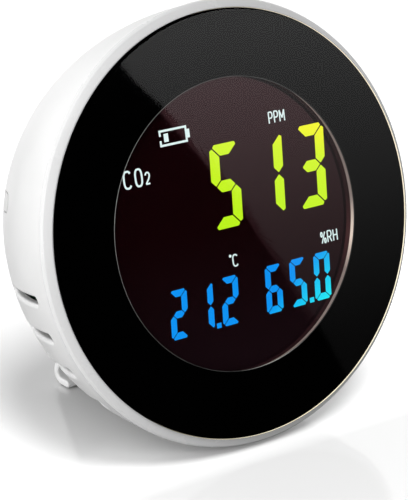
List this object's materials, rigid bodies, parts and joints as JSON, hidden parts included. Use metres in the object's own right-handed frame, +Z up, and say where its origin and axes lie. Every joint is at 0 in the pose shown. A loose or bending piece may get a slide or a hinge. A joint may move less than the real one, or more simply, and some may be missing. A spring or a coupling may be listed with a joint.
{
  "type": "air quality monitor",
  "caption": "Round desk-top air quality monitor with a dark glass front, a lit display, a vented white bowl-shaped case and a folding stand.",
  "frame": {"origin": "centre of the bottom of the bounding box, on the surface the monitor stands on", "axes": "+Z up; -Y is the way the glass faces (it leans back 12.6 degrees); +X is to the right of someone reading the display"},
  "size_m": [0.1042, 0.0622, 0.1027],
  "materials": {
    "clear_glass": "clear polished cover",
    "black_print": "gloss black print seen through the cover",
    "black_tape": "black adhesive foam",
    "white_gloss": "gloss white moulding",
    "gasket_foam": "dark brown foam",
    "polariser": "smoked optical film",
    "display_glass": "display glass",
    "figures_green": "lit yellow-green figures",
    "figures_blue": "lit blue figures",
    "symbols_white": "lit white symbols",
    "colour_print": "printed colour film",
    "clear_acrylic": "clear acrylic",
    "white_film": "white reflective film",
    "board_white": "white lamp board",
    "lamp_yellow": "phosphor lamp",
    "black_plastic": "matt black moulding",
    "plated_steel": "zinc plated",
    "white_satin": "satin white moulding",
    "solder_mask": "green solder mask",
    "gold_can": "gold flashed optical cell",
    "filter_membrane": "white filter membrane",
    "chip_black": "moulded package",
    "switch_metal": "stamped steel switch",
    "connector_steel": "plated steel",
    "battery_foil": "foil pouch",
    "nylon_white": "natural nylon",
    "lead_sleeve": "red wire insulation",
    "ribbon_amber": "amber flexible circuit",
    "button_white": "satin white moulding",
    "stand_white": "satin white moulding",
    "pad_rubber": "black rubber"
  },
  "bodies": {
    "case": {"front_glass": "clear_glass", "printed_mask": "black_print", "glass_tape": "black_tape", "front_bezel": "white_gloss", "display_gasket": "gasket_foam", "front_polariser": "polariser", "display_front_glass": "display_glass", "display_rear_glass": "display_glass", "co2_figures": "figures_green", "climate_figures": "figures_blue", "battery_symbol": "symbols_white", "unit_symbols": "symbols_white", "rear_polariser": "polariser", "colour_film": "colour_print", "light_guide": "clear_acrylic", "reflector_film": "white_film", "lamp_strip": "board_white", "backlight_lamps": "lamp_yellow", "display_holder": "black_plastic", "holder_screws": "plated_steel", "rear_shell": "white_satin", "case_screws": "plated_steel", "circuit_board": "solder_mask", "board_screws": "plated_steel", "co2_sensor": "gold_can", "sensor_filters": "filter_membrane", "climate_sensor": "chip_black", "microcontroller": "chip_black", "board_components": "chip_black", "buzzer": "black_plastic", "back_switches": "switch_metal", "side_switch": "switch_metal", "usb_socket": "connector_steel", "usb_tongue": "chip_black", "battery_tape": "black_tape", "battery": "battery_foil", "battery_connector": "nylon_white", "battery_leads": "lead_sleeve", "ribbon_connector": "nylon_white", "display_ribbon": "ribbon_amber"},
    "stand": {"stand": "stand_white", "stand_pad": "pad_rubber", "hinge_pin": "plated_steel"},
    "power_button": {"power_button": "button_white"},
    "mode_button": {"mode_button": "button_white"},
    "set_button": {"set_button": "button_white"}
  },
  "joints": [
    {"name": "stand_hinge", "type": "hinge", "parent": "case", "child": "stand", "pos_m": [0, 0.01345, 0.02854], "axis": [-1, 0, 0], "range_deg": [0, 45]},
    {"name": "power_press", "type": "slide", "parent": "case", "child": "power_button", "axis": [1, 0, 0], "range_m": [0, 0.0005], "stiffness_N_per_m": 2000, "springref_m": -0.0003},
    {"name": "mode_press", "type": "slide", "parent": "case", "child": "mode_button", "axis": [0, -0.9758, 0.2185], "range_m": [0, 0.0005], "stiffness_N_per_m": 2000, "springref_m": -0.0003},
    {"name": "set_press", "type": "slide", "parent": "case", "child": "set_button", "axis": [0, -0.9758, 0.2185], "range_m": [0, 0.0005], "stiffness_N_per_m": 2000, "springref_m": -0.0003}
  ]
}
